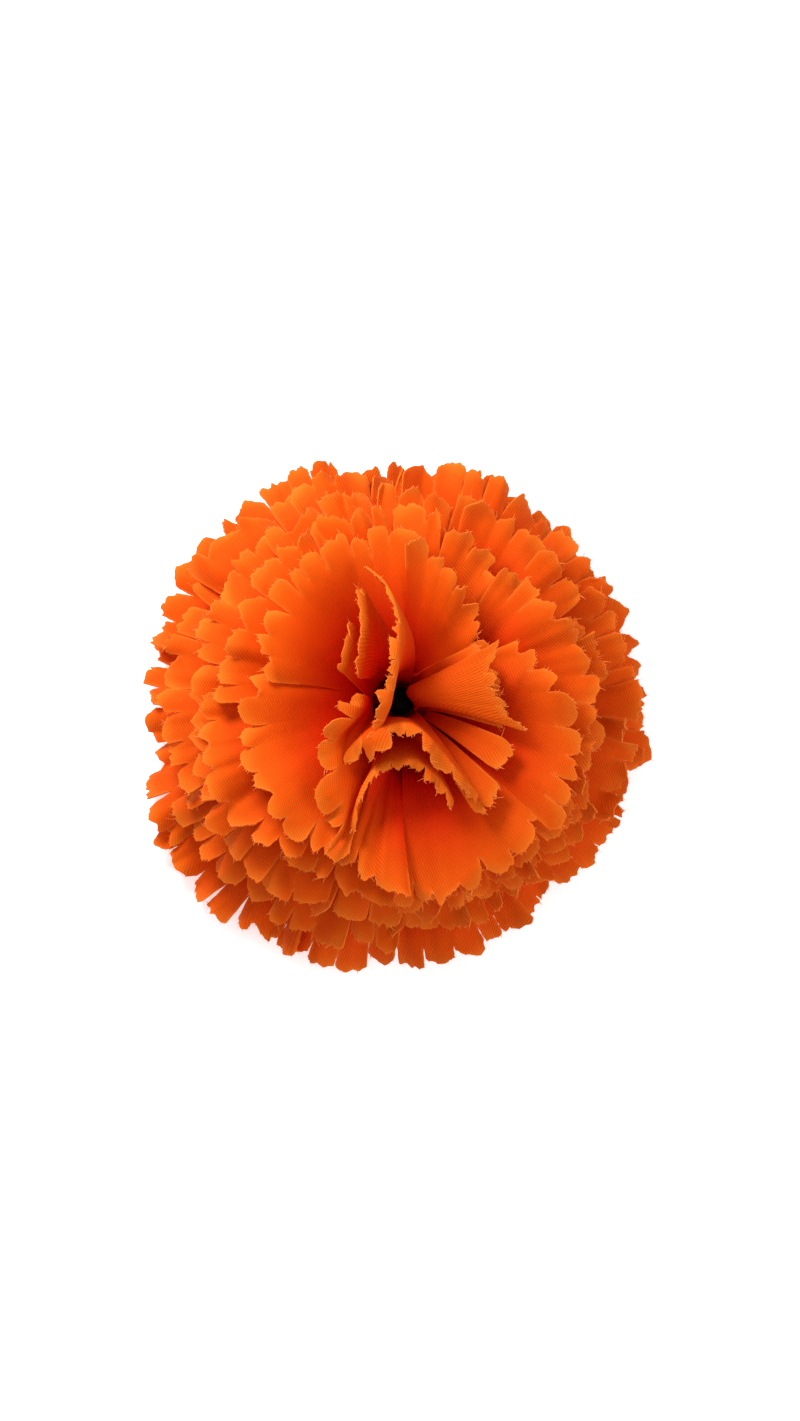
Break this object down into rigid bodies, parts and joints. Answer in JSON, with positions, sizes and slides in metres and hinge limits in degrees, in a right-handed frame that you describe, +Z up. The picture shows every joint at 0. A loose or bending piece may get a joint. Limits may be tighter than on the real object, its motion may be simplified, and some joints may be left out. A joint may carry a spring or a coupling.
{
  "type": "artificial mini carnation flower head",
  "caption": "Head of an artificial mini carnation: stacked discs of woven orange cloth with toothed rims, threaded on a pin in a green moulded calyx.",
  "frame": {"origin": "middle of the calyx's flat foot, on the flower's axis", "axes": "+Z up along the flower's axis, out of the face of the flower; +X to the right and +Y to the top as its face is seen"},
  "size_m": [0.0555, 0.0553, 0.0287],
  "materials": {
    "petal_cloth": "woven polyester, matt with a slight sheen, cut edges pale and frayed",
    "calyx_plastic": "moulded, satin",
    "pin_plastic": "moulded, satin"
  },
  "bodies": {
    "root": {"calyx": "calyx_plastic", "stack_pin": "pin_plastic", "petal_disc_1_outermost": "petal_cloth", "petal_disc_2": "petal_cloth", "petal_disc_3": "petal_cloth", "petal_disc_4": "petal_cloth", "petal_disc_5": "petal_cloth", "petal_disc_6": "petal_cloth", "petal_disc_7_heart": "petal_cloth"}
  },
  "joints": []
}
